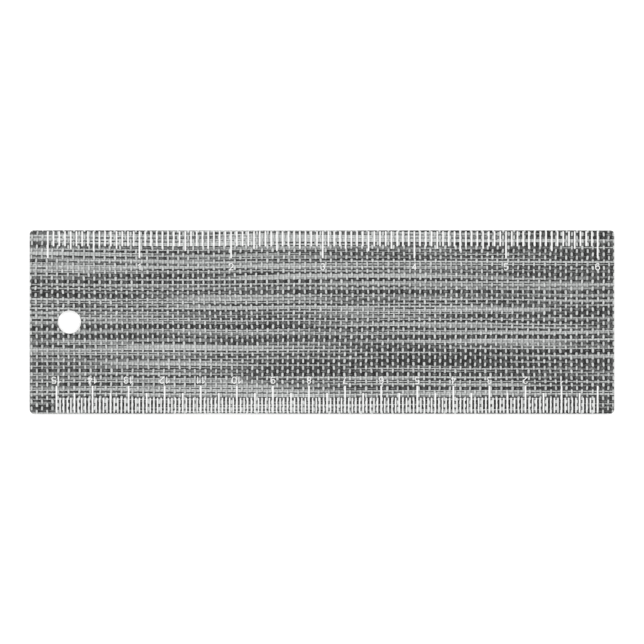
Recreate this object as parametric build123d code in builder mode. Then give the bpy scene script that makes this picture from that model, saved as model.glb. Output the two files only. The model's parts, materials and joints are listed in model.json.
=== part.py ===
"""Flat steel ruler with a printed weave face, an inch scale and a metric scale.

The ruler lies face up. Its origin is the middle of its underside, +X runs along its length,
+Y points at the inch edge and +Z is up. The metric scale on the opposite edge is read after
turning the ruler half round, so its zero is on the right and its numerals are upside down here.
All sizes are in millimetres.
"""

from build123d import *
import os

# ---- Driving dimensions ---------------------------------------------------------------------

# Blade
length = 162.0
width = 50.8
blade_thickness = 1.0
corner_radius = 1.1
edge_break = 0.15  # bevel around the underside and around the hole's lower rim

# Hanging hole, on the long centre line
hole_diameter = 6.4
hole_inset = 11.0  # left end of the blade to the hole's centre

# Coating and print on the face
base_coat_thickness = 0.05
print_film_thickness = 0.10
ink_thickness = 0.03

# Both scales
mark_edge_margin = 0.25  # bare strip between the marks and the blade's edge
scale_end_clearance = 2.0  # least blade left past the first and the last mark

# Inch scale
inch = 25.4
inch_zero_inset = 5.0  # left end of the blade to the zero mark
inch_whole_length = 7.7
inch_half_length = 5.7
inch_quarter_length = 5.1
inch_eighth_length = 4.4
inch_sixteenth_length = 4.4
inch_mark_width = 0.43
inch_numeral_gap = 1.4  # end of a whole-inch mark to the top of its numeral

# Metric scale
centimetre = 10.0
centimetre_length = 7.7
half_centimetre_length = 5.7
millimetre_length = 4.4
centimetre_mark_width = 0.43
millimetre_mark_width = 0.35
metric_numeral_gap = 0.6  # end of a centimetre mark to the top of its numeral

# Numerals, drawn with a pen of constant width
numeral_height = 1.95
numeral_width = 1.3
numeral_stroke = 0.22
digit_gap = 0.15  # between two digits of one number

# ---- Derived places -------------------------------------------------------------------------

face_height = blade_thickness + base_coat_thickness + print_film_thickness
hole_x = hole_inset - length / 2

inch_zero_x = inch_zero_inset - length / 2
inch_count = int((length - inch_zero_inset - scale_end_clearance) / inch)

# The metric zero stands in line with the last inch mark.
metric_zero_x = inch_zero_x + inch_count * inch
centimetre_count = int((metric_zero_x + length / 2 - scale_end_clearance) / centimetre)

# Each scale has its own plane on the face: x along the scale from its zero, y out to its edge.
inch_plane = Plane(origin=(inch_zero_x, width / 2, face_height), x_dir=(1, 0, 0), z_dir=(0, 0, 1))
metric_plane = Plane(origin=(metric_zero_x, -width / 2, face_height), x_dir=(-1, 0, 0), z_dir=(0, 0, 1))

# The middle of the pen stays half a stroke inside the numeral's outline.
half_stroke = numeral_stroke / 2
pen_height = numeral_height - numeral_stroke
pen_reach = (numeral_width - numeral_stroke) / 2

os.makedirs("parts", exist_ok=True)


# ---- Outline shared by the blade and the layers on it ---------------------------------------


def draw_outline():
    """Draw the ruler's outline, with its hanging hole, in the current sketch."""
    RectangleRounded(length, width, corner_radius)
    with Locations((hole_x, 0)):
        Circle(hole_diameter / 2, mode=Mode.SUBTRACT)


# ---- Marks ----------------------------------------------------------------------------------


def rank_places(unit, count, parts, coarser_parts):
    """List the distances from zero of one rank of marks, on a scale of count units.

    The rank cuts each unit in parts, and leaves out the marks that the coarser rank has made.
    """
    steps = range(count * parts + 1)
    if coarser_parts is not None:
        steps = [step for step in steps if step * coarser_parts % parts]
    return [step * unit / parts for step in steps]


def draw_marks(places, mark_length, mark_width):
    """Draw the marks of one rank in the current sketch, from the edge margin inwards."""
    with Locations([(place, -mark_edge_margin) for place in places]):
        Rectangle(mark_width, mark_length - mark_edge_margin, align=(Align.CENTER, Align.MAX))


# ---- Numerals -------------------------------------------------------------------------------
# Each function lays the middle line of the pen for one digit. x runs from -pen_reach to
# pen_reach and y from 0 to pen_height. Strokes that meet at a sharp corner stay a little apart
# at their ends, so that each is cut off square instead of growing a spike.

upper_bowl = 0.24 * pen_height  # radii of the bowls of 3 and 8, which overlap at the waist
lower_bowl = 0.28 * pen_height


def pen_zero():
    """Lay a tall ring."""
    CenterArc((0, pen_height - pen_reach), pen_reach, 0, 180)
    Line((-pen_reach, pen_height - pen_reach), (-pen_reach, pen_reach))
    CenterArc((0, pen_reach), pen_reach, 180, 180)
    Line((pen_reach, pen_reach), (pen_reach, pen_height - pen_reach))


def pen_one():
    """Lay a stem with a slanted flag."""
    stem_x = 0.3 * pen_reach
    Line((stem_x, -half_stroke), (stem_x, pen_height + half_stroke))
    Line((stem_x, pen_height - half_stroke), (-0.8 * pen_reach, pen_height - pen_reach))


def pen_two():
    """Lay a bowl that runs down into a slant, on a straight foot."""
    bowl = CenterArc((0, pen_height - pen_reach), pen_reach, 165, -200)
    Line(bowl @ 1, (half_stroke / 2 - pen_reach, 0))
    Line((-numeral_width / 2, 0), (numeral_width / 2, 0))


def pen_three():
    """Lay two open bowls, one on the other."""
    CenterArc((0, pen_height - upper_bowl), upper_bowl, 155, -245)
    CenterArc((0, lower_bowl), lower_bowl, 90, -245)


def pen_four():
    """Lay a stem, a slant and a crossbar."""
    stem_x = 0.45 * pen_reach
    bar_y = 0.28 * pen_height
    Line((stem_x, -half_stroke), (stem_x, pen_height + half_stroke))
    Line((stem_x, pen_height), (half_stroke / 2 - pen_reach, bar_y))
    Line((-numeral_width / 2, bar_y), (numeral_width / 2, bar_y))


def pen_five():
    """Lay a top bar, a short spine and an open bowl."""
    bowl = 0.31 * pen_height
    spine_x = -0.75 * pen_reach
    Line((spine_x - half_stroke, pen_height), (pen_reach, pen_height))
    Line((spine_x, pen_height - half_stroke), (spine_x - half_stroke / 3, pen_height / 2))
    CenterArc((0, bowl), bowl, 140, -295)


def pen_six():
    """Lay a bowl, closed by a tail that hooks over it."""
    CenterArc((0, pen_reach), pen_reach, 180, 180)
    CenterArc((0, pen_reach), pen_reach, 0, 160)
    Line((-pen_reach, pen_reach), (-pen_reach, pen_height - pen_reach))
    CenterArc((0, pen_height - pen_reach), pen_reach, 180, -145)


def pen_seven():
    """Lay a top bar and a slanted stem."""
    Line((-numeral_width / 2, pen_height), (numeral_width / 2, pen_height))
    Line((pen_reach - half_stroke / 2, pen_height), (-0.25 * pen_reach, -0.65 * half_stroke))


def pen_eight():
    """Lay two closed bowls, one on the other."""
    CenterArc((0, pen_height - upper_bowl), upper_bowl, 0, 360)
    CenterArc((0, lower_bowl), lower_bowl, 0, 360)


def pen_nine():
    """Lay a bowl, closed by a tail that hooks under it."""
    CenterArc((0, pen_height - pen_reach), pen_reach, 0, 180)
    CenterArc((0, pen_height - pen_reach), pen_reach, 180, 160)
    Line((pen_reach, pen_height - pen_reach), (pen_reach, pen_reach))
    CenterArc((0, pen_reach), pen_reach, 0, -145)


def trace_digit(pen):
    """Give one digit's face, with its foot at y = 0, by tracing each stroke of its pen."""
    with BuildLine(Plane((0, half_stroke)), mode=Mode.PRIVATE) as strokes:
        pen()
    with BuildSketch(mode=Mode.PRIVATE) as digit:
        for stroke in strokes.edges():
            trace(stroke, line_width=numeral_stroke)
    return digit.sketch


digit_pens = (
    pen_zero, pen_one, pen_two, pen_three, pen_four,
    pen_five, pen_six, pen_seven, pen_eight, pen_nine,
)
digit_faces = {str(value): trace_digit(pen) for value, pen in enumerate(digit_pens)}


def draw_numerals(unit, count, top):
    """Draw the numbers from 1 to count in the current sketch, centred on their marks.

    The tops of the numerals stand on the line y = top.
    """
    digit_pitch = numeral_width + digit_gap
    for number in range(1, count + 1):
        digits = str(number)
        first_x = number * unit - digit_pitch * (len(digits) - 1) / 2
        for place, digit in enumerate(digits):
            with Locations((first_x + place * digit_pitch, top - numeral_height)):
                add(digit_faces[digit])


# ---- Blade and the layers on its face -------------------------------------------------------

with BuildPart() as steel_blade:
    with BuildSketch():
        draw_outline()
    extrude(amount=blade_thickness)
    underside = steel_blade.faces().sort_by(Axis.Z)[0]
    chamfer(underside.edges(), length=edge_break)
steel_blade.part.label = "steel_blade"
export_step(steel_blade.part, "parts/steel_blade.step")

with BuildPart() as white_base_coat:
    with BuildSketch(Plane.XY.offset(blade_thickness)):
        draw_outline()
    extrude(amount=base_coat_thickness)
white_base_coat.part.label = "white_base_coat"
export_step(white_base_coat.part, "parts/white_base_coat.step")

with BuildPart() as weave_print_film:
    with BuildSketch(Plane.XY.offset(blade_thickness + base_coat_thickness)):
        draw_outline()
    extrude(amount=print_film_thickness)
weave_print_film.part.label = "weave_print_film"
export_step(weave_print_film.part, "parts/weave_print_film.step")

# ---- Inch scale -----------------------------------------------------------------------------

# Each rank of marks: its name, its parts of an inch, the coarser rank's parts, its length
inch_ranks = (
    ("inch_marks_whole", 1, None, inch_whole_length),
    ("inch_marks_half", 2, 1, inch_half_length),
    ("inch_marks_quarter", 4, 2, inch_quarter_length),
    ("inch_marks_eighth", 8, 4, inch_eighth_length),
    ("inch_marks_sixteenth", 16, 8, inch_sixteenth_length),
)
for label, parts, coarser_parts, mark_length in inch_ranks:
    with BuildPart() as inch_marks:
        with BuildSketch(inch_plane):
            places = rank_places(inch, inch_count, parts, coarser_parts)
            draw_marks(places, mark_length, inch_mark_width)
        extrude(amount=ink_thickness)
    inch_marks.part.label = label
    export_step(inch_marks.part, f"parts/{label}.step")

with BuildPart() as inch_numerals:
    with BuildSketch(inch_plane):
        draw_numerals(inch, inch_count, top=-inch_whole_length - inch_numeral_gap)
    extrude(amount=ink_thickness)
inch_numerals.part.label = "inch_numerals"
export_step(inch_numerals.part, "parts/inch_numerals.step")

# ---- Metric scale ---------------------------------------------------------------------------

# Each rank of marks: its name, its parts of a centimetre, the coarser rank's parts, its length
# and the width of its marks
metric_ranks = (
    ("metric_marks_centimetre", 1, None, centimetre_length, centimetre_mark_width),
    ("metric_marks_half_centimetre", 2, 1, half_centimetre_length, centimetre_mark_width),
    ("metric_marks_millimetre", 10, 2, millimetre_length, millimetre_mark_width),
)
for label, parts, coarser_parts, mark_length, mark_width in metric_ranks:
    with BuildPart() as metric_marks:
        with BuildSketch(metric_plane):
            places = rank_places(centimetre, centimetre_count, parts, coarser_parts)
            draw_marks(places, mark_length, mark_width)
        extrude(amount=ink_thickness)
    metric_marks.part.label = label
    export_step(metric_marks.part, f"parts/{label}.step")

with BuildPart() as metric_numerals:
    with BuildSketch(metric_plane):
        draw_numerals(
            centimetre, centimetre_count, top=-centimetre_length - metric_numeral_gap
        )
    extrude(amount=ink_thickness)
metric_numerals.part.label = "metric_numerals"
export_step(metric_numerals.part, "parts/metric_numerals.step")
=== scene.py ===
"""Looks of a flat steel ruler with a printed weave face and white scales.

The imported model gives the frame: every piece here is made around its boxes, in metres, with the
ruler lying face up, its length along X, its inch edge towards +Y and its underside at z = 0.
"""

from __future__ import annotations

import json
import logging
import math
from dataclasses import dataclass
from enum import Enum
from functools import partial
from typing import Callable, Union

import bpy
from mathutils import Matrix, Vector


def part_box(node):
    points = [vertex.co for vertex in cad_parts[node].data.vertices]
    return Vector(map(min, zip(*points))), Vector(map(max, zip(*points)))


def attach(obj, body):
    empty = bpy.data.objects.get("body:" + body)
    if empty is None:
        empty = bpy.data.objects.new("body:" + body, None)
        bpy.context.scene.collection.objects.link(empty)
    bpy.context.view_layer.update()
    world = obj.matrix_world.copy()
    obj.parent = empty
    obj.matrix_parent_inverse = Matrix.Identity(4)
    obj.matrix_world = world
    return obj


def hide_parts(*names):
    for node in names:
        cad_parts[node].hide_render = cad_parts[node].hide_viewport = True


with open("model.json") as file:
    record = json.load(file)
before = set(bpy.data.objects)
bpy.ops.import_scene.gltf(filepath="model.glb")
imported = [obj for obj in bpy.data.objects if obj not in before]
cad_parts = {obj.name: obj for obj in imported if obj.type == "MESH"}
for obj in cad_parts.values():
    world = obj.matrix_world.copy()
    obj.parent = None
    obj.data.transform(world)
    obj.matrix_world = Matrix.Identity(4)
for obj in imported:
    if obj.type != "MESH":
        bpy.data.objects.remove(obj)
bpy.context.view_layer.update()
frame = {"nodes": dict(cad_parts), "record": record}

LOG = logging.getLogger("ruler")
MM = 0.001
BODY = "root"
# Heights nearer to each other than this, in metres, count as the same.
SAME_PLACE = 1e-6


# ---- Named options --------------------------------------------------------------------------


class Slot(Enum):
    """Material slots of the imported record."""

    STEEL = "steel"
    BASE_COAT = "base_coat"
    WEAVE = "weave_print"
    INK = "scale_ink"


# ---- Small helpers for objects --------------------------------------------------------------


def deselect_all() -> None:
    """Leave object mode with nothing selected."""
    if bpy.context.object is not None and bpy.context.object.mode != "OBJECT":
        bpy.ops.object.mode_set(mode="OBJECT")
    bpy.ops.object.select_all(action="DESELECT")


def make_active(piece: bpy.types.Object) -> None:
    """Select one piece alone and make it the active object.

    Args:
        piece: The object that the next operators act on.
    """
    deselect_all()
    piece.select_set(True)
    bpy.context.view_layer.objects.active = piece


def apply_modifier(piece: bpy.types.Object, modifier: bpy.types.Modifier) -> None:
    """Apply one modifier to the mesh of a piece.

    Args:
        piece: The object that carries the modifier.
        modifier: The modifier to apply.
    """
    make_active(piece)
    bpy.ops.object.modifier_apply(modifier=modifier.name)


def freeze_place(piece: bpy.types.Object) -> None:
    """Move the place, turn and size of an object into its mesh.

    Args:
        piece: The object, which ends at the origin, unturned and unscaled.
    """
    make_active(piece)
    bpy.ops.object.transform_apply(location=True, rotation=True, scale=True)


def edit_edges(piece: bpy.types.Object, wanted: Callable[[Vector, Vector], bool]) -> None:
    """Open a piece in edit mode with some of its edges selected.

    Args:
        piece: The piece to edit.
        wanted: Says of an edge, by its two ends, whether it is selected.
    """
    make_active(piece)
    bpy.ops.object.mode_set(mode="EDIT")
    bpy.ops.mesh.select_mode(type="EDGE")
    bpy.ops.mesh.select_all(action="DESELECT")
    bpy.ops.object.mode_set(mode="OBJECT")
    mesh = piece.data
    for edge in mesh.edges:
        first, second = (mesh.vertices[index].co for index in edge.vertices)
        edge.select = wanted(first, second)
    bpy.ops.object.mode_set(mode="EDIT")


def smooth_shading(piece: bpy.types.Object, angle: float = 35.0) -> None:
    """Leave edit mode and shade a piece smooth where its faces meet at less than an angle.

    Args:
        piece: The piece to shade.
        angle: The angle in degrees.
    """
    make_active(piece)
    bpy.ops.object.shade_smooth_by_angle(angle=math.radians(angle))


def dress(piece: bpy.types.Object, *materials: bpy.types.Material) -> None:
    """Give a piece its materials, in the order of its material slots.

    Args:
        piece: The piece, whose old slots are dropped.
        materials: One material for each slot.
    """
    piece.data.materials.clear()
    for material in materials:
        piece.data.materials.append(material)


def hand_over(piece: bpy.types.Object, node: str) -> None:
    """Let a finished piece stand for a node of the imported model.

    Args:
        piece: The finished piece.
        node: The node that it replaces.
    """
    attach(piece, BODY)
    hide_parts(node)
    LOG.info("%s: %d faces", piece.name, len(piece.data.polygons))


# ---- Shader graphs --------------------------------------------------------------------------

Socket = bpy.types.NodeSocket
Input = Union[Socket, float, tuple[float, ...]]


@dataclass(frozen=True)
class Fade:
    """A smooth change from start, up to low, to end, from high on."""

    low: float
    high: float
    start: float
    end: float


class Graph:
    """Builds one material's node graph through short calls."""

    def __init__(self, name: str) -> None:
        """Start a material with a Principled shader and nothing else.

        Args:
            name: The material's name.
        """
        self.material = bpy.data.materials.new(name)
        self.material.use_nodes = True
        self.tree = self.material.node_tree
        self.tree.nodes.clear()
        output = self.tree.nodes.new("ShaderNodeOutputMaterial")
        self.shader = self.tree.nodes.new("ShaderNodeBsdfPrincipled")
        self.tree.links.new(self.shader.outputs["BSDF"], output.inputs["Surface"])

    def _feed(self, socket: Socket, value: Input) -> None:
        """Link a socket to another, or set it to a constant.

        Args:
            socket: The socket to feed.
            value: The other socket or the constant.
        """
        if isinstance(value, bpy.types.NodeSocket):
            self.tree.links.new(value, socket)
        else:
            socket.default_value = value

    def node(self, kind: str, inputs: dict[int | str, Input], **settings: object) -> bpy.types.Node:
        """Add a node.

        Args:
            kind: The node's type name, without the ShaderNode prefix.
            inputs: What to feed to its inputs, by name or number.
            settings: The node's own properties.

        Returns:
            The new node.
        """
        made = self.tree.nodes.new("ShaderNode" + kind)
        for key, value in settings.items():
            setattr(made, key, value)
        for key, value in inputs.items():
            self._feed(made.inputs[key], value)
        return made

    def math(self, operation: str, *values: Input, clamp: bool = False) -> Socket:
        """Combine numbers with one Math node.

        Args:
            operation: The node's operation, such as "ADD".
            values: Its inputs in order.
            clamp: Whether the result is kept from 0 to 1.

        Returns:
            The result.
        """
        made = self.node("Math", dict(enumerate(values)), operation=operation, use_clamp=clamp)
        return made.outputs[0]

    def ramp(self, value: Input, low: float, high: float, start: Input, end: Input) -> Socket:
        """Map a range of values smoothly to another, and hold its ends.

        Args:
            value: The value to map.
            low: Where the change begins.
            high: Where the change ends.
            start: The result up to low.
            end: The result from high on.

        Returns:
            The mapped value.
        """
        made = self.node(
            "MapRange",
            {0: value, 1: low, 2: high, 3: start, 4: end},
            interpolation_type="SMOOTHSTEP",
        )
        return made.outputs[0]

    def fade(self, value: Input, fade: Fade) -> Socket:
        """Map a value by a fade.

        Args:
            value: The value to map.
            fade: The fade.

        Returns:
            The mapped value.
        """
        return self.ramp(value, fade.low, fade.high, fade.start, fade.end)

    def layered(self, base: Input, *layers: tuple[Socket, float]) -> Socket:
        """Add patterns to a value.

        Args:
            base: The value where every pattern is 0.
            layers: Pairs of a pattern and its contrast.

        Returns:
            The sum.
        """
        for pattern, contrast in layers:
            base = self.math("MULTIPLY_ADD", pattern, contrast, base)
        return base

    def shaded(self, tone: Socket, *shades: Socket) -> Socket:
        """Multiply a tone by each of its shades.

        Args:
            tone: The tone as a number.
            shades: Factors, where 1 leaves the tone as it is.

        Returns:
            The shaded tone.
        """
        for shade in shades:
            tone = self.math("MULTIPLY", tone, shade)
        return tone

    def size(self, value: Input) -> Socket:
        """Give a number without its sign."""
        return self.math("ABSOLUTE", value)

    def place(self) -> Socket:
        """Give the place on the ruler, in metres."""
        return self.node("TexCoord", {}).outputs["Object"]

    def split(self, vector: Socket) -> tuple[Socket, Socket, Socket]:
        """Split a vector into its three parts."""
        parts = self.node("SeparateXYZ", {0: vector}).outputs
        return parts[0], parts[1], parts[2]

    def join(self, x: Input, y: Input, z: Input = 0.0) -> Socket:
        """Make a vector of three parts."""
        return self.node("CombineXYZ", {0: x, 1: y, 2: z}).outputs[0]

    def stretch(self, vector: Socket, scale: tuple[float, float, float]) -> Socket:
        """Scale a vector along each axis.

        Args:
            vector: The vector to scale.
            scale: Its factors along X, Y and Z.

        Returns:
            The scaled vector.
        """
        return self.node("Mapping", {"Vector": vector, "Scale": scale}).outputs[0]

    def clouds(self, vector: Socket, detail: float = 2.0, roughness: float = 0.5) -> Socket:
        """Give smooth noise of about one unit's grain.

        Args:
            vector: Where the noise is read.
            detail: How many finer layers it has.
            roughness: How strong the finer layers are.

        Returns:
            The noise, mostly between 0.3 and 0.7.
        """
        inputs = {"Vector": vector, "Scale": 1.0, "Detail": detail, "Roughness": roughness}
        return self.node("TexNoise", inputs).outputs["Fac"]

    def dice(self, x: Input, y: Input = 0.0, z: Input = 0.0) -> Socket:
        """Give an even random number from 0 to 1 for each point, with no link to its neighbours."""
        made = self.node("TexWhiteNoise", {"Vector": self.join(x, y, z)})
        return made.outputs["Value"]

    def tones(self, value: Socket, stops: tuple[tuple[float, float], ...]) -> Socket:
        """Turn a value into a grey tone by a ramp.

        Args:
            value: The value, from 0 to 1.
            stops: Pairs of place on the ramp and reflectance there.

        Returns:
            The tone as a colour.
        """
        made = self.node("ValToRGB", {0: value})
        elements = made.color_ramp.elements
        while len(elements) < len(stops):
            elements.new(1.0)
        for element, (place, tone) in zip(elements, stops):
            element.position = place
            element.color = (tone, tone, tone, 1.0)
        return made.outputs["Color"]

    def mix(self, share: Input, first: Input, second: Input) -> Socket:
        """Mix two numbers: the first where share is 0, the second where it is 1."""
        made = self.node("Mix", {"Factor": share, "A": first, "B": second}, data_type="FLOAT")
        return made.outputs["Result"]

    def tint(self, tone: Socket, colour: tuple[float, float, float]) -> Socket:
        """Colour a grey tone.

        Args:
            tone: The tone as a number.
            colour: The factor on each of red, green and blue.

        Returns:
            The tinted colour.
        """
        red, green, blue = (self.math("MULTIPLY", tone, factor) for factor in colour)
        made = self.node("CombineColor", {0: red, 1: green, 2: blue})
        return made.outputs["Color"]

    def bump(self, height: Socket, depth: float, strength: float = 1.0) -> None:
        """Let a height pattern tilt the shader's normal.

        Args:
            height: The pattern, from 0 to 1.
            depth: The pattern's full depth in metres.
            strength: How much of the tilt is used.
        """
        inputs = {"Height": height, "Distance": depth, "Strength": strength}
        self.link(self.node("Bump", inputs).outputs["Normal"], "Normal")

    def link(self, value: Input, socket: str) -> None:
        """Feed one of the Principled shader's sockets, by its name."""
        self._feed(self.shader.inputs[socket], value)


# ---- Finishes -------------------------------------------------------------------------------


@dataclass(frozen=True)
class BrushedSteel:
    """Bare stainless steel, brushed along the ruler.

    The tone and the roughness start from their lowest and gain each pattern's share.
    """

    lowest_tone: float = 0.22
    fine_tone: float = 0.40
    broad_tone: float = 0.34
    cloud_tone: float = 0.08
    scratch_tone: float = 0.07
    lowest_roughness: float = 0.06
    fine_roughness: float = 0.24
    broad_roughness: float = 0.18
    anisotropy: float = 0.55
    tint: tuple[float, float, float] = (1.0, 0.993, 0.975)
    line_length: float = 26 * MM
    line_width: float = 0.09 * MM
    line_depth: float = 0.005 * MM
    line_grain: float = 0.62
    broad_factor: float = 6.0
    cloud_scale: tuple[float, float, float] = (38.0, 90.0, 90.0)
    scratch_length: float = 9 * MM
    scratch_width: float = 0.35 * MM
    scratches: Fade = Fade(0.66, 0.74, 0.0, 1.0)

    def build(self) -> bpy.types.Material:
        """Make the material: fine and broad brush lines, scattered scratches and faint clouds.

        Returns:
            The material.
        """
        graph = Graph("brushed_steel")
        place = graph.place()
        fine = self._lines(graph, place, 1.0, 4.0)
        broad = self._lines(graph, place, self.broad_factor, 2.0)
        clouds = graph.clouds(graph.stretch(place, self.cloud_scale), 3.0)
        scratch_scale = (1 / self.scratch_length, 1 / self.scratch_width, 1.0)
        scratches = graph.fade(
            graph.clouds(graph.stretch(place, scratch_scale), 1.0), self.scratches
        )
        tone = graph.layered(
            self.lowest_tone,
            (fine, self.fine_tone),
            (broad, self.broad_tone),
            (clouds, self.cloud_tone),
            (scratches, self.scratch_tone),
        )
        graph.link(graph.tint(tone, self.tint), "Base Color")
        rough = graph.layered(
            self.lowest_roughness, (fine, self.fine_roughness), (broad, self.broad_roughness)
        )
        graph.link(rough, "Roughness")
        graph.link(1.0, "Metallic")
        graph.link(self.anisotropy, "Anisotropic")
        graph.bump(fine, self.line_depth)
        return graph.material

    def _lines(self, graph: Graph, place: Socket, width: float, detail: float) -> Socket:
        """Give noise drawn out along the ruler.

        Args:
            graph: The material's graph.
            place: The place on the ruler.
            width: How many times wider than the finest lines these are.
            detail: How many finer layers the noise has.

        Returns:
            The noise.
        """
        across = 1 / (self.line_width * width)
        scaled = graph.stretch(place, (1 / self.line_length, across, across))
        return graph.clouds(scaled, detail, self.line_grain)


@dataclass(frozen=True)
class WhiteCoat:
    """Opaque white coat between the steel and the print."""

    lowest_tone: float = 0.75
    grain_tone: float = 0.06
    cloud_tone: float = 0.04
    lowest_roughness: float = 0.48
    grain_roughness: float = 0.20
    tint: tuple[float, float, float] = (1.0, 1.0, 0.985)
    grain: float = 0.25 * MM
    grain_depth: float = 0.004 * MM
    cloud_scale: float = 60.0

    def build(self) -> bpy.types.Material:
        """Make the material: a matt white with a faint grain.

        Returns:
            The material.
        """
        graph = Graph("white_base_coat")
        place = graph.place()
        fine = graph.clouds(graph.stretch(place, (1 / self.grain,) * 3), 3.0)
        broad = graph.clouds(graph.stretch(place, (self.cloud_scale,) * 3))
        tone = graph.layered(
            self.lowest_tone, (fine, self.grain_tone), (broad, self.cloud_tone)
        )
        graph.link(graph.tint(tone, self.tint), "Base Color")
        rough = graph.layered(self.lowest_roughness, (fine, self.grain_roughness))
        graph.link(rough, "Roughness")
        graph.bump(fine, self.grain_depth)
        return graph.material


@dataclass(frozen=True)
class FilmEdge:
    """Cut edge of the print film, around the ruler and in the hole."""

    lowest_tone: float = 0.10
    grain_tone: float = 0.24
    lowest_roughness: float = 0.42
    grain_roughness: float = 0.25
    tint: tuple[float, float, float] = (0.985, 1.0, 0.993)
    grain: float = 0.12 * MM
    grain_depth: float = 0.006 * MM

    def build(self) -> bpy.types.Material:
        """Make the material: a dull grey with the ragged grain of a cut.

        Returns:
            The material.
        """
        graph = Graph("film_cut_edge")
        fine = graph.clouds(graph.stretch(graph.place(), (1 / self.grain,) * 3), 3.0, 0.6)
        tone = graph.layered(self.lowest_tone, (fine, self.grain_tone))
        graph.link(graph.tint(tone, self.tint), "Base Color")
        rough = graph.layered(self.lowest_roughness, (fine, self.grain_roughness))
        graph.link(rough, "Roughness")
        graph.bump(fine, self.grain_depth)
        return graph.material


@dataclass(frozen=True)
class WhiteInk:
    """Opaque white ink of the marks and numerals."""

    lowest_tone: float = 0.64
    stipple_tone: float = 0.05
    cloud_tone: float = 0.03
    lowest_roughness: float = 0.34
    stipple_roughness: float = 0.18
    specular: float = 0.30
    tint: tuple[float, float, float] = (1.0, 1.0, 0.995)
    stipple: float = 0.16 * MM
    stipple_depth: float = 0.003 * MM
    cloud_scale: float = 90.0

    def build(self) -> bpy.types.Material:
        """Make the material: a clean satin white with the fine stipple of printed ink.

        Returns:
            The material.
        """
        graph = Graph("white_scale_ink")
        place = graph.place()
        fine = graph.clouds(graph.stretch(place, (1 / self.stipple,) * 3), 2.0)
        broad = graph.clouds(graph.stretch(place, (self.cloud_scale,) * 3))
        tone = graph.layered(
            self.lowest_tone, (fine, self.stipple_tone), (broad, self.cloud_tone)
        )
        graph.link(graph.tint(tone, self.tint), "Base Color")
        rough = graph.layered(self.lowest_roughness, (fine, self.stipple_roughness))
        graph.link(rough, "Roughness")
        graph.link(self.specular, "Specular IOR Level")
        graph.bump(fine, self.stipple_depth)
        return graph.material


class Key(Enum):
    """Keys that keep the weave's random draws and its lines of noise apart."""

    THREAD_TONE = 2.0
    WARP_WIDTH = 5.0
    WARP_TONE = 9.0
    STRAND_COUNT = 11.0
    EYE_CHANCE = 21.0
    WARP_LEAN = 31.0
    WARP_SHIFT = 33.0
    ROW_STREAK = 40.0
    CROWN_LEAN = 80.0


@dataclass(frozen=True)
class Wander:
    """How the threads stray from their even spacing, by smooth noise.

    The noise has a grain along and across the ruler. Its share is in thread spacings, the
    offset is added all over, and the layer keeps one noise apart from another.
    """

    grain_along: float
    grain_across: float
    share: float
    detail: float = 0.0
    offset: float = 0.0
    layer: float = 0.0

    def read(self, graph: Graph, x: Socket, y: Socket) -> Socket:
        """Give the stray at each point.

        Args:
            graph: The material's graph.
            x: Place along the ruler.
            y: Place across the ruler.

        Returns:
            The stray, in thread spacings.
        """
        along = graph.math("DIVIDE", x, self.grain_along)
        across = graph.math("DIVIDE", y, self.grain_across)
        noise = graph.clouds(graph.join(along, across, self.layer), self.detail)
        return graph.math("MULTIPLY_ADD", noise, self.share, self.offset)


@dataclass(frozen=True)
class Row:
    """The weft row at each point, as sockets.

    Across the row the place runs from -0.5 to 0.5.
    """

    number: Socket
    across: Socket


@dataclass(frozen=True)
class Cell:
    """One crossing of the weave, as sockets.

    The warp, the row and the float are numbers. A float is the stretch of weft between two
    warps on top of it: along it the place runs from -1 to 1, and across the row from -0.5 to
    0.5. Away is the distance from the nearest warp on top, in warp spacings, and right is 1 on
    that warp's right side and -1 on its left.
    """

    warp: Socket
    row: Socket
    float_number: Socket
    along: Socket
    across: Socket
    away: Socket
    right: Socket


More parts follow.
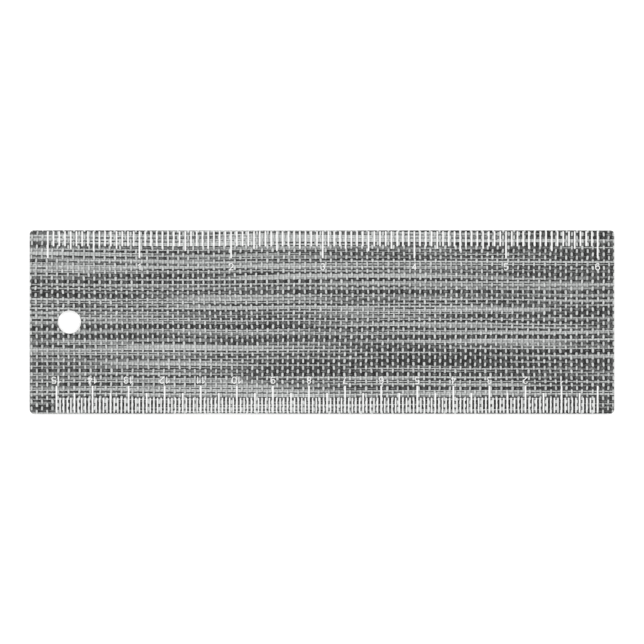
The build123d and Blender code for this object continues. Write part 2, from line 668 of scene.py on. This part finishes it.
@dataclass(frozen=True)
class Warps:
    """The light threads across the ruler, which show where they lie on top.

    Their width, lean and shift are in warp spacings, and their grain in metres.
    """

    lowest_half_width: float = 0.17
    width_spread: float = 0.06
    lean_spread: float = 0.24
    shift_spread: float = 0.06
    side_power: float = 2.6
    end_power: float = 5.0
    outline: Fade = Fade(0.65, 1.35, 1.0, 0.0)
    lowest_tone: float = 0.323
    own_tone: float = 0.12
    thread_tone: float = 0.05
    grain_width: float = 0.09 * MM
    grain_length: float = 0.8 * MM
    side_shade: Fade = Fade(0.05, 0.22, 1.05, 0.74)
    end_shade: Fade = Fade(0.25, 0.50, 1.04, 0.80)
    grain_shade: Fade = Fade(0.30, 0.70, 0.93, 1.06)

    def shown(self, graph: Graph, cell: Cell) -> Socket:
        """Give 1 where a warp lies on top and 0 elsewhere, with rounded ends.

        Args:
            graph: The material's graph.
            cell: The crossing's cell.

        Returns:
            The share of warp.
        """
        draw = partial(self._draw, graph, cell)
        width = draw(Key.WARP_WIDTH, self.width_spread, self.lowest_half_width)
        lean = draw(Key.WARP_LEAN, self.lean_spread, -self.lean_spread / 2)
        aside = draw(Key.WARP_SHIFT, self.shift_spread, -self.shift_spread / 2)
        aside = graph.math("MULTIPLY_ADD", cell.across, lean, aside)
        off = graph.math("SUBTRACT", graph.math("MULTIPLY", cell.right, cell.away), aside)
        sides = graph.math("POWER", graph.math("DIVIDE", graph.size(off), width), self.side_power)
        ends = graph.math("MULTIPLY", graph.size(cell.across), 2.0)
        ends = graph.math("POWER", ends, self.end_power)
        return graph.fade(graph.math("ADD", sides, ends), self.outline)

    def _draw(self, graph: Graph, cell: Cell, key: Key, spread: float, lowest: float) -> Socket:
        """Draw a random measure for each warp on top.

        Args:
            graph: The material's graph.
            cell: The crossing's cell.
            key: Which measure it is.
            spread: How far the draws spread.
            lowest: The lowest draw.

        Returns:
            The measure.
        """
        drawn = graph.dice(cell.warp, cell.row, key.value)
        return graph.math("MULTIPLY_ADD", drawn, spread, lowest)

    def tone(self, graph: Graph, x: Socket, y: Socket, cell: Cell) -> Socket:
        """Give the tone of a warp where it lies on top.

        Args:
            graph: The material's graph.
            x: Place along the ruler.
            y: Place across the ruler.
            cell: The crossing's cell.

        Returns:
            The tone as a number.
        """
        own = graph.dice(cell.warp, cell.row, Key.WARP_TONE.value)
        thread = graph.dice(cell.warp, Key.THREAD_TONE.value, Key.THREAD_TONE.value)
        tone = graph.layered(self.lowest_tone, (own, self.own_tone), (thread, self.thread_tone))
        along = graph.math("DIVIDE", x, self.grain_width)
        grain = graph.clouds(graph.join(along, graph.math("DIVIDE", y, self.grain_length)), 1.0)
        return graph.shaded(
            tone,
            graph.fade(cell.away, self.side_shade),
            graph.fade(graph.size(cell.across), self.end_shade),
            graph.fade(grain, self.grain_shade),
        )


@dataclass(frozen=True)
class Weft:
    """The rows of weft: a few strands in each, dark or light in long streaks.

    What repeats with the threads is measured in warp spacings along a row and in row heights
    across it, and streaks and fibres in metres. The stops turn a streak's value, from 0 to 1,
    into a tone. The lowest count and its spread give two to four strands once rounded down.
    """

    lowest_count: float = 2.6
    count_spread: float = 1.6
    pinch: Fade = Fade(0.12, 0.70, 1.22, 0.96)
    streak_length: float = 80 * MM
    first_streak: float = 27.0
    row_stride: float = 7.31
    strand_stride: float = 5.17
    streak_share: float = 5.0
    streak_offset: float = -2.32
    row_streak_length: float = 120 * MM
    row_streak_stride: float = 3.77
    row_streak_share: float = 0.6
    float_share: float = 0.24
    slope_along: float = -1.6
    slope_across: float = 1.6
    stops: tuple[tuple[float, float], ...] = (
        (0.0, 0.010),
        (0.30, 0.019),
        (0.46, 0.064),
        (0.62, 0.195),
        (1.0, 0.41),
    )
    eye_half_width: float = 0.24
    eye_half_length: float = 0.42
    eye_outline: Fade = Fade(0.35, 1.25, 1.0, 0.0)
    eye_chance: Fade = Fade(0.25, 0.95, 0.10, 0.75)
    eye_tone: float = 0.20
    crown_grain: float = 30 * MM
    crown_stride: float = 6.13
    crown_swing: float = 4.0
    crown_light: Fade = Fade(0.0, 0.75, 0.050, 0.0)
    fibre_length: float = 1.1 * MM
    fibre_width: float = 0.07 * MM
    fibre_shade: Fade = Fade(0.30, 0.70, 0.80, 1.18)
    strand_shade: Fade = Fade(0.26, 0.50, 1.12, 0.58)
    dive_start: float = 0.18
    dive_end: float = 0.62
    dive_shade: Fade = Fade(0.35, 0.90, 0.54, 0.74)
    middle_shade: Fade = Fade(0.60, 1.0, 0.99, 1.08)
    seam_shade: Fade = Fade(0.44, 0.54, 1.0, 0.55)
    cast_shade: Fade = Fade(0.0, 0.22, 1.0, 0.72)

    def tone(self, graph: Graph, x: Socket, y: Socket, cell: Cell) -> Socket:
        """Give the weft's tone.

        Args:
            graph: The material's graph.
            x: Place along the ruler.
            y: Place across the ruler.
            cell: The crossing's cell.

        Returns:
            The tone as a number.
        """
        # Strands lie closer together where they dive under a warp.
        drawn = graph.math("MULTIPLY", cell.across, graph.fade(cell.away, self.pinch))
        count = graph.dice(cell.row, Key.STRAND_COUNT.value)
        count = graph.math("MULTIPLY_ADD", count, self.count_spread, self.lowest_count)
        strand_place = graph.math(
            "MULTIPLY", graph.math("ADD", drawn, 0.5), graph.math("FLOOR", count)
        )
        value = self._streaks(graph, x, y, cell, graph.math("FLOOR", strand_place))
        tone = self._open(graph, cell, graph.tones(value, self.stops))
        tone = graph.math("ADD", tone, self._crown(graph, x, cell))
        in_strand = graph.math("SUBTRACT", graph.math("FRACT", strand_place), 0.5)
        fibre_scale = (1 / self.fibre_length, 1 / self.fibre_width, 1.0)
        fibres = graph.clouds(graph.stretch(graph.place(), fibre_scale), 2.0, 0.6)
        dive = graph.fade(value, self.dive_shade)
        beside = graph.math("MULTIPLY", cell.right, graph.math("SUBTRACT", 0.5, cell.away))
        return graph.shaded(
            tone,
            graph.fade(fibres, self.fibre_shade),
            graph.fade(graph.size(in_strand), self.strand_shade),
            graph.ramp(cell.away, self.dive_start, self.dive_end, dive, 1.0),
            graph.fade(cell.away, self.middle_shade),
            graph.fade(graph.size(drawn), self.seam_shade),
            graph.fade(beside, self.cast_shade),
        )

    def _streaks(
        self, graph: Graph, x: Socket, y: Socket, cell: Cell, strand: Socket
    ) -> Socket:
        """Give the strand's value, which drifts along the row.

        Args:
            graph: The material's graph.
            x: Place along the ruler.
            y: Place across the ruler.
            cell: The crossing's cell.
            strand: The strand's number in its row.

        Returns:
            The value, from 0 for the darkest to 1 for the lightest.
        """
        line = graph.join(
            graph.math("DIVIDE", x, self.streak_length),
            graph.math("MULTIPLY", cell.row, self.row_stride),
            graph.math("MULTIPLY_ADD", strand, self.strand_stride, self.first_streak),
        )
        row_line = graph.join(
            graph.math("DIVIDE", x, self.row_streak_length),
            graph.math("MULTIPLY", cell.row, self.row_streak_stride),
            self.first_streak + Key.ROW_STREAK.value,
        )
        value = graph.layered(
            self.streak_offset,
            (graph.clouds(line, 1.5), self.streak_share),
            (graph.clouds(row_line, 1.0), self.row_streak_share),
        )
        value = graph.math("SUBTRACT", value, self.float_share / 2)
        float_own = graph.dice(cell.float_number, cell.row, strand)
        value = graph.layered(value, (float_own, self.float_share), (x, self.slope_along))
        return graph.math("MULTIPLY_ADD", y, self.slope_across, value, clamp=True)

    def _open(self, graph: Graph, cell: Cell, tone: Socket) -> Socket:
        """Open some floats a little in the middle, where the light warp under them shows.

        Args:
            graph: The material's graph.
            cell: The crossing's cell.
            tone: The closed float's tone.

        Returns:
            The tone with its eyes.
        """
        slit = graph.math("POWER", graph.math("DIVIDE", cell.across, self.eye_half_width), 2.0)
        length = graph.math("SUBTRACT", 1.0, cell.away)
        length = graph.math("POWER", graph.math("DIVIDE", length, self.eye_half_length), 2.0)
        eye = graph.fade(graph.math("ADD", slit, length), self.eye_outline)
        chance = graph.dice(cell.warp, cell.row, Key.EYE_CHANCE.value)
        chance = graph.fade(chance, self.eye_chance)
        return graph.mix(graph.math("MULTIPLY", eye, chance), tone, self.eye_tone)

    def _crown(self, graph: Graph, x: Socket, cell: Cell) -> Socket:
        """Give the light that a float catches on its crown, a little to one side of its middle.

        Args:
            graph: The material's graph.
            x: Place along the ruler.
            cell: The crossing's cell.

        Returns:
            The tone to add.
        """
        line = graph.join(
            graph.math("DIVIDE", x, self.crown_grain),
            graph.math("MULTIPLY", cell.row, self.crown_stride),
            Key.CROWN_LEAN.value,
        )
        lean = graph.clouds(line, 0.0)
        lean = graph.math("MULTIPLY_ADD", lean, self.crown_swing, -self.crown_swing / 2)
        off = graph.math("SUBTRACT", cell.along, lean)
        return graph.fade(graph.size(off), self.crown_light)


@dataclass(frozen=True)
class WovenPrint:
    """Printed picture of a plain weave: light warps over streaky dark and light weft rows.

    Each row's edges swing away from the warps on top of it, by the swell, in row heights.
    """

    warp_spacing: float = 1.45 * MM
    row_height: float = 0.95 * MM
    swell: float = 0.11
    warp_wander: tuple[Wander, ...] = (
        Wander(34 * MM, 40 * MM, 1.6, detail=1.0, offset=200.0),
        Wander(4 * MM, 22 * MM, 0.20),
    )
    row_wander: tuple[Wander, ...] = (
        Wander(52 * MM, 45 * MM, 1.3, detail=1.0, offset=200.0, layer=5.0),
        Wander(30 * MM, 1.9 * MM, 0.26, layer=9.0),
    )
    warps: Warps = Warps()
    weft: Weft = Weft()
    tint: tuple[float, float, float] = (0.974, 1.0, 0.988)
    peel_scale: float = 900.0
    peel_depth: float = 0.006 * MM
    peel_strength: float = 0.6
    lowest_roughness: float = 0.32
    peel_roughness: float = 0.16
    specular: float = 0.22
    varnish: float = 0.05
    varnish_roughness: float = 0.22

    def build(self) -> bpy.types.Material:
        """Make the material from the warp's and the weft's tones, under a faint varnish.

        Returns:
            The material.
        """
        graph = Graph("woven_print")
        x, y, _ = graph.split(graph.place())
        cell = self._cell(graph, x, y)
        weft = self.weft.tone(graph, x, y, cell)
        warp = self.warps.tone(graph, x, y, cell)
        tone = graph.mix(self.warps.shown(graph, cell), weft, warp)
        graph.link(graph.tint(tone, self.tint), "Base Color")
        peel = graph.clouds(graph.stretch(graph.place(), (self.peel_scale,) * 3), 2.0)
        rough = graph.layered(self.lowest_roughness, (peel, self.peel_roughness))
        graph.link(rough, "Roughness")
        graph.link(self.specular, "Specular IOR Level")
        graph.link(self.varnish, "Coat Weight")
        graph.link(self.varnish_roughness, "Coat Roughness")
        graph.bump(peel, self.peel_depth, self.peel_strength)
        return graph.material

    def _cell(self, graph: Graph, x: Socket, y: Socket) -> Cell:
        """Find which warp and weft row cross nearest to each point, and where it lies in them.

        Args:
            graph: The material's graph.
            x: Place along the ruler.
            y: Place across the ruler.

        Returns:
            The crossing's cell.
        """
        u = graph.math("DIVIDE", x, self.warp_spacing)
        for wander in self.warp_wander:
            u = graph.math("ADD", u, wander.read(graph, x, y))
        v = graph.math("DIVIDE", y, self.row_height)
        for wander in self.row_wander:
            v = graph.math("ADD", v, wander.read(graph, x, y))
        row = self._row(graph, u, v)

        warp = graph.math("FLOOR", u)
        side = graph.math("SUBTRACT", graph.math("FRACT", u), 0.5)
        beside = graph.size(side)
        under = graph.math("FLOORED_MODULO", graph.math("ADD", warp, row.number), 2.0)
        away = graph.mix(under, beside, graph.math("SUBTRACT", 1.0, beside))
        turned = graph.math("MULTIPLY_ADD", under, -2.0, 1.0)
        right = graph.math("MULTIPLY", graph.math("SIGN", side), turned)
        run = graph.math("ADD", graph.math("SUBTRACT", u, 0.5), row.number)
        run = graph.math("MULTIPLY", run, 0.5)
        along = graph.math("MULTIPLY_ADD", graph.math("FRACT", run), 2.0, -1.0)
        number = graph.math("FLOOR", run)
        return Cell(warp, row.number, number, along, row.across, away, right)

    def _row(self, graph: Graph, u: Socket, v: Socket) -> Row:
        """Find the row at each point, between edges that swing away from its warps on top.

        Args:
            graph: The material's graph.
            u: Place along the ruler, in warps.
            v: Place across the ruler, in rows.

        Returns:
            The row.
        """
        nearest = graph.math("FLOOR", v)
        phase = graph.math("MULTIPLY", graph.math("SUBTRACT", u, 0.5), math.pi)
        parity = graph.math("FLOORED_MODULO", nearest, 2.0)
        parity = graph.math("MULTIPLY_ADD", parity, -2.0, 1.0)
        swing = graph.math("MULTIPLY", graph.math("COSINE", phase), parity)

        # Past the nearest row's edge a point belongs to the next row on that side.
        off = graph.math("SUBTRACT", graph.math("SUBTRACT", v, nearest), 0.5)
        reach = graph.math("MULTIPLY_ADD", swing, self.swell, 0.5)
        outside = graph.math("GREATER_THAN", graph.size(off), reach)
        number = graph.math("MULTIPLY_ADD", graph.math("SIGN", off), outside, nearest)
        turned = graph.math("MULTIPLY_ADD", outside, -2.0, 1.0)
        height = graph.math("MULTIPLY", swing, turned)
        height = graph.math("MULTIPLY_ADD", height, 2 * self.swell, 1.0)
        across = graph.math("SUBTRACT", graph.math("SUBTRACT", v, number), 0.5)
        return Row(number, graph.math("DIVIDE", across, height))


@dataclass(frozen=True)
class StudioPaper:
    """Seamless white paper that the ruler lies on."""

    lowest_tone: float = 0.91
    cloud_tone: float = 0.02
    cloud_scale: float = 6.0
    roughness: float = 0.85
    specular: float = 0.1

    def build(self) -> bpy.types.Material:
        """Make the material: a matt white with the faintest cloudiness.

        Returns:
            The material.
        """
        graph = Graph("studio_paper")
        broad = graph.clouds(graph.stretch(graph.place(), (self.cloud_scale,) * 3))
        tone = graph.layered(self.lowest_tone, (broad, self.cloud_tone))
        graph.link(graph.tint(tone, (1.0, 1.0, 1.0)), "Base Color")
        graph.link(self.roughness, "Roughness")
        graph.link(self.specular, "Specular IOR Level")
        return graph.material


# ---- Plates ---------------------------------------------------------------------------------


@dataclass(frozen=True)
class Outline:
    """The ruler's outline, which all its layers share.

    The drill for the hole is drill_length times as long as a plate is thick.
    """

    low: Vector
    high: Vector
    hole: Vector
    hole_radius: float
    corner_radius: float = 1.1 * MM
    corner_segments: int = 10
    hole_segments: int = 96
    drill_length: float = 3.0

    @classmethod
    def from_frame(cls) -> Outline:
        """Read the outline off the blade's box and the hanging hole's mount.

        Returns:
            The outline, in metres.
        """
        low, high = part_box("steel_blade")
        mounts = {mount["name"]: mount for mount in frame["record"]["mounts"]}
        hole = mounts["hanging_hole"]
        return cls(low, high, Vector(hole["pos_m"]), hole["dims"]["r_mm"] * MM)

    def plate(self, name: str, bottom: float, top: float) -> bpy.types.Object:
        """Model a plate of this outline, with its rounded corners and its hole.

        Args:
            name: The new object's name.
            bottom: Height of its underside.
            top: Height of its top.

        Returns:
            The plate, placed in its mesh.
        """
        size, middle = self.high - self.low, (self.high + self.low) / 2
        deselect_all()
        bpy.ops.mesh.primitive_cube_add(size=1.0, location=(middle.x, middle.y, (bottom + top) / 2))
        plate = bpy.context.object
        plate.name = name
        plate.scale = (size.x, size.y, top - bottom)
        freeze_place(plate)
        self._round_corners(plate)
        self._cut_hole(plate, bottom, top)
        return plate

    def _round_corners(self, plate: bpy.types.Object) -> None:
        """Bevel the four upright edges of a plate to the corner radius.

        Args:
            plate: The plate, still a plain block.
        """

        def upright(first: Vector, second: Vector) -> bool:
            """Say whether an edge stands upright."""
            return abs(first.z - second.z) > (first - second).xy.length

        edit_edges(plate, upright)
        bpy.ops.mesh.bevel(offset=self.corner_radius, segments=self.corner_segments)
        bpy.ops.object.mode_set(mode="OBJECT")

    def _cut_hole(self, plate: bpy.types.Object, bottom: float, top: float) -> None:
        """Drill the hanging hole through a plate.

        Args:
            plate: The plate.
            bottom: Height of its underside.
            top: Height of its top.
        """
        deselect_all()
        bpy.ops.mesh.primitive_cylinder_add(
            vertices=self.hole_segments,
            radius=self.hole_radius,
            depth=self.drill_length * (top - bottom),
            location=(self.hole.x, self.hole.y, (bottom + top) / 2),
        )
        drill = bpy.context.object
        freeze_place(drill)
        cut = plate.modifiers.new("hole", "BOOLEAN")
        cut.operation, cut.object, cut.solver = "DIFFERENCE", drill, "EXACT"
        apply_modifier(plate, cut)
        bpy.data.objects.remove(drill)

    def round_rim(
        self, plate: bpy.types.Object, height: float, radius: float, segments: int = 3
    ) -> None:
        """Round a plate's edges at one height, around its outline and its hole.

        Args:
            plate: The plate.
            height: Height of the edges.
            radius: Width of the rounding.
            segments: Its number of steps.
        """

        def at_height(first: Vector, second: Vector) -> bool:
            """Say whether both ends of an edge lie at the height."""
            return max(abs(first.z - height), abs(second.z - height)) < SAME_PLACE

        edit_edges(plate, at_height)
        bpy.ops.mesh.bevel(offset=radius, segments=segments)
        bpy.ops.object.mode_set(mode="OBJECT")


@dataclass
class Blade:
    """The steel strip, with its lower edges rounded off."""

    outline: Outline
    edge_radius: float = 0.15 * MM
    edge_segments: int = 5

    def build(self) -> None:
        """Model and dress the blade."""
        low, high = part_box("steel_blade")
        blade = self.outline.plate("blade", low.z, high.z)
        self.outline.round_rim(blade, low.z, self.edge_radius, self.edge_segments)
        smooth_shading(blade)
        dress(blade, BrushedSteel().build())
        hand_over(blade, "steel_blade")


@dataclass
class Face:
    """The layers on the blade's face: a white coat under the printed film.

    The faces of the film whose normals point up by more than least_upward carry the print.
    """

    outline: Outline
    rim_radius: float = 0.025 * MM
    least_upward: float = 0.3

    def build(self) -> None:
        """Model and dress both layers."""
        self._coat()
        self._film()

    def _coat(self) -> None:
        """Model the white coat."""
        low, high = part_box("white_base_coat")
        coat = self.outline.plate("base_coat", low.z, high.z)
        smooth_shading(coat)
        dress(coat, WhiteCoat().build())
        hand_over(coat, "white_base_coat")

    def _film(self) -> None:
        """Model the film, with the weave on top and its cut edge around."""
        low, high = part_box("weave_print_film")
        film = self.outline.plate("woven_film", low.z, high.z)
        self.outline.round_rim(film, high.z, self.rim_radius)
        smooth_shading(film)
        dress(film, WovenPrint().build(), FilmEdge().build())
        for polygon in film.data.polygons:
            polygon.material_index = 0 if polygon.normal.z > self.least_upward else 1
        hand_over(film, "weave_print_film")


# ---- Printed scales -------------------------------------------------------------------------


@dataclass(frozen=True)
class Repeat:
    """How often one mark is repeated along a scale, and how far apart."""

    count: int
    step: float


@dataclass
class MarkRank:
    """All the marks of one length on one scale, in raised white ink.

    The marks of a rank are copies of one mark, which has the rounded shoulders of dried ink.
    """

    node: str
    width: float
    repeats: tuple[Repeat, ...]
    shoulder: float = 0.012 * MM
    shoulder_segments: int = 2

    def build(self, ink: bpy.types.Material) -> None:
        """Model the marks and dress them.

        Args:
            ink: The ink's material.
        """
        low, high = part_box(self.node)
        marks = self._one_mark(low, high)
        for number, repeat in enumerate(self.repeats):
            row = marks.modifiers.new(f"repeat_{number}", "ARRAY")
            row.count = repeat.count
            row.use_relative_offset, row.use_constant_offset = False, True
            row.constant_offset_displace = (repeat.step, 0.0, 0.0)
            apply_modifier(marks, row)
        smooth_shading(marks)
        dress(marks, ink)
        hand_over(marks, self.node)

    def _one_mark(self, low: Vector, high: Vector) -> bpy.types.Object:
        """Model the rank's first mark, at the low end of its box.

        Args:
            low: The box's lowest corner.
            high: The box's highest corner.

        Returns:
            The mark, placed in its mesh.
        """
        middle = (low + high) / 2
        middle.x = low.x + self.width / 2
        deselect_all()
        bpy.ops.mesh.primitive_cube_add(size=1.0, location=middle)
        mark = bpy.context.object
        mark.name = "ink_" + self.node
        mark.scale = (self.width, high.y - low.y, high.z - low.z)
        freeze_place(mark)
        edit_edges(mark, lambda first, second: min(first.z, second.z) > middle.z)
        bpy.ops.mesh.bevel(offset=self.shoulder, segments=self.shoulder_segments)
        bpy.ops.object.mode_set(mode="OBJECT")
        return mark


@dataclass
class Scales:
    """Both printed scales: the inch scale on one edge and the metric scale on the other."""

    inch: float = 25.4 * MM
    inch_mark: float = 0.43 * MM
    centimetre: float = 10 * MM
    centimetre_mark: float = 0.43 * MM
    millimetre_mark: float = 0.35 * MM

    def build(self) -> None:
        """Model every rank of marks and dress the numerals, all with one white ink."""
        ink = WhiteInk().build()
        for rank in (*self._inch_ranks(), *self._metric_ranks()):
            rank.build(ink)
        for node in ("inch_numerals", "metric_numerals"):
            dress(frame["nodes"][node], ink)

    def _inch_ranks(self) -> tuple[MarkRank, ...]:
        """List the inch scale's ranks, from whole inches to sixteenths.

        Returns:
            The ranks.
        """
        inch, width = self.inch, self.inch_mark
        return (
            MarkRank("inch_marks_whole", width, (Repeat(7, inch),)),
            MarkRank("inch_marks_half", width, (Repeat(6, inch),)),
            MarkRank("inch_marks_quarter", width, (Repeat(12, inch / 2),)),
            MarkRank("inch_marks_eighth", width, (Repeat(24, inch / 4),)),
            MarkRank("inch_marks_sixteenth", width, (Repeat(48, inch / 8),)),
        )

    def _metric_ranks(self) -> tuple[MarkRank, ...]:
        """List the metric scale's ranks, from centimetres to millimetres.

        Returns:
            The ranks.
        """
        centimetre, width = self.centimetre, self.centimetre_mark
        millimetres = (Repeat(4, centimetre / 10), Repeat(30, centimetre / 2))
        return (
            MarkRank("metric_marks_centimetre", width, (Repeat(16, centimetre),)),
            MarkRank("metric_marks_half_centimetre", width, (Repeat(15, centimetre),)),
            MarkRank("metric_marks_millimetre", self.millimetre_mark, millimetres),
        )


# ---- Studio ---------------------------------------------------------------------------------


@dataclass
class Studio:
    """White paper, soft light from all round and a camera straight above."""

    floor_size: float = 6.0
    floor_gap: float = 0.02 * MM
    view_width: float = 178.5 * MM
    camera_height: float = 0.6
    world_strength: float = 0.80
    lamp_size: float = 1.6
    lamp_power: float = 18.0
    lamp_places: tuple[tuple[float, float, float], ...] = (
        (-1.3, 0.9, 1.5),
        (1.3, 0.9, 1.5),
        (0.0, -1.6, 1.5),
    )

    def build(self) -> None:
        """Lay the paper, set the light and place the camera."""
        self._paper()
        self._light()
        self._camera()

    def _paper(self) -> None:
        """Lay the paper just under the ruler."""
        deselect_all()
        bpy.ops.mesh.primitive_plane_add(size=self.floor_size, location=(0.0, 0.0, -self.floor_gap))
        paper = bpy.context.object
        paper.name = "studio_paper"
        freeze_place(paper)
        dress(paper, StudioPaper().build())

    def _light(self) -> None:
        """Light the sky evenly and hang large soft lamps around the ruler."""
        world = bpy.data.worlds.new("studio_sky")
        world.use_nodes = True
        sky = world.node_tree.nodes["Background"]
        sky.inputs["Color"].default_value = (1.0, 1.0, 1.0, 1.0)
        sky.inputs["Strength"].default_value = self.world_strength
        bpy.context.scene.world = world
        for number, place in enumerate(self.lamp_places):
            lamp = bpy.data.lights.new(f"softbox_{number}", "AREA")
            lamp.shape, lamp.size, lamp.energy = "SQUARE", self.lamp_size, self.lamp_power
            holder = bpy.data.objects.new(lamp.name, lamp)
            holder.location = place
            aim = -Vector(place)
            holder.rotation_euler = aim.to_track_quat("-Z", "Y").to_euler()
            bpy.context.scene.collection.objects.link(holder)

    def _camera(self) -> None:
        """Hang the camera straight above the middle of the ruler."""
        camera = bpy.data.cameras.new("camera")
        camera.type, camera.ortho_scale = "ORTHO", self.view_width
        holder = bpy.data.objects.new("camera", camera)
        holder.location = (0.0, 0.0, self.camera_height)
        bpy.context.scene.collection.objects.link(holder)
        bpy.context.scene.camera = holder


def main() -> None:
    """Build the ruler's pieces in order, then the studio."""
    logging.basicConfig(level=logging.INFO, format="%(name)s: %(message)s")
    outline = Outline.from_frame()
    for assembly in (Blade(outline), Face(outline), Scales(), Studio()):
        assembly.build()
        LOG.info("%s is done", type(assembly).__name__)
    bpy.context.scene.view_settings.view_transform = "Standard"


if __name__ == "__main__":
    main()
